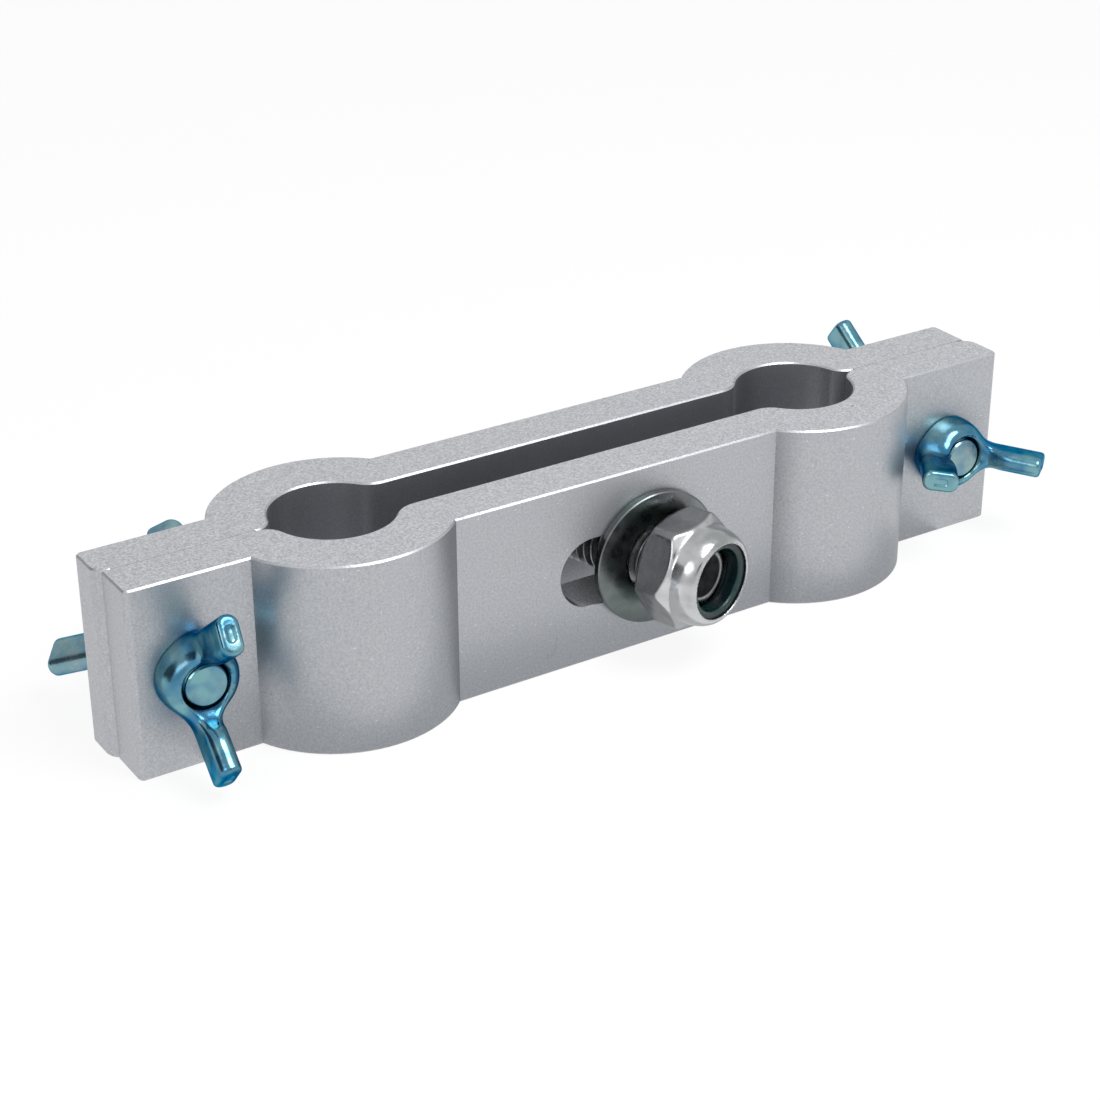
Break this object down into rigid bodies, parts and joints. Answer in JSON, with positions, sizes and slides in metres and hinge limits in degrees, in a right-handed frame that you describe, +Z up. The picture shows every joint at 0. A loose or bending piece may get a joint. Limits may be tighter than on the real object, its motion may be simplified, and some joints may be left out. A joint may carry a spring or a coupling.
{
  "type": "double tube clamp",
  "caption": "Aluminium clamp in two halves that grips parallel tubes, closed by wing bolts and a bolt through slots in its middle plates.",
  "frame": {"origin": "on the axis of the left tube seat, at half the height of the clamp", "axes": "+X from the left tube to the right tube, +Z up along both tubes, -Y out of the front face where the lock nut is"},
  "size_m": [0.1876, 0.0586, 0.035],
  "materials": {
    "extrusion": "blasted and clear anodised",
    "blue_zinc": "bright zinc plate with a blue passivate",
    "steel": "bright zinc plated steel",
    "nylon": "dark blue-green nylon"
  },
  "bodies": {
    "back_half": {"back_half": "extrusion"},
    "front_half": {"front_half": "extrusion"},
    "left_wing_bolt": {"left_wing_bolt": "blue_zinc"},
    "right_wing_bolt": {"right_wing_bolt": "blue_zinc"},
    "left_wing_nut": {"left_wing_nut": "blue_zinc"},
    "right_wing_nut": {"right_wing_nut": "blue_zinc"},
    "centre_bolt": {"centre_bolt": "steel"},
    "centre_washer": {"centre_washer": "steel"},
    "lock_nut": {"lock_nut": "steel", "lock_ring": "nylon"}
  },
  "joints": [
    {"name": "front_opening", "type": "slide", "parent": "back_half", "child": "front_half", "axis": [0, -1, 0], "range_m": [0, 0.002]},
    {"name": "left_nut_turn", "type": "hinge", "parent": "front_half", "child": "left_wing_nut", "pos_m": [-0.0309, -0.00855, 0], "axis": [0, -1, 0], "range_deg": [0, 576.1]},
    {"name": "right_nut_turn", "type": "hinge", "parent": "front_half", "child": "right_wing_nut", "pos_m": [0.1281, -0.00855, 0], "axis": [0, -1, 0], "range_deg": [0, 576.1]},
    {"name": "left_bolt_turn", "type": "hinge", "parent": "back_half", "child": "left_wing_bolt", "pos_m": [-0.0309, 0.00855, 0], "axis": [0, 1, 0], "continuous": true},
    {"name": "right_bolt_turn", "type": "hinge", "parent": "back_half", "child": "right_wing_bolt", "pos_m": [0.1281, 0.00855, 0], "axis": [0, 1, 0], "continuous": true},
    {"name": "bolt_slide", "type": "slide", "parent": "back_half", "child": "centre_bolt", "axis": [1, 0, 0], "range_m": [-0.0055, 0]},
    {"name": "washer_back_off", "type": "slide", "parent": "centre_bolt", "child": "centre_washer", "axis": [0.2622, -0.965, 0], "range_m": [0, 0.0021]},
    {"name": "lock_nut_turn", "type": "hinge", "parent": "centre_washer", "child": "lock_nut", "pos_m": [0.0551, -0.01465, 0], "axis": [0.2622, -0.965, 0], "range_deg": [0, 430.81]}
  ],
  "couplings": [
    {"joint": "left_nut_turn", "follows": "front_opening", "rad_per_m": 5026.5},
    {"joint": "right_nut_turn", "follows": "front_opening", "rad_per_m": 5026.5},
    {"joint": "washer_back_off", "follows": "front_opening", "ratio": 1.0466},
    {"joint": "lock_nut_turn", "follows": "front_opening", "rad_per_m": 3757.8}
  ]
}
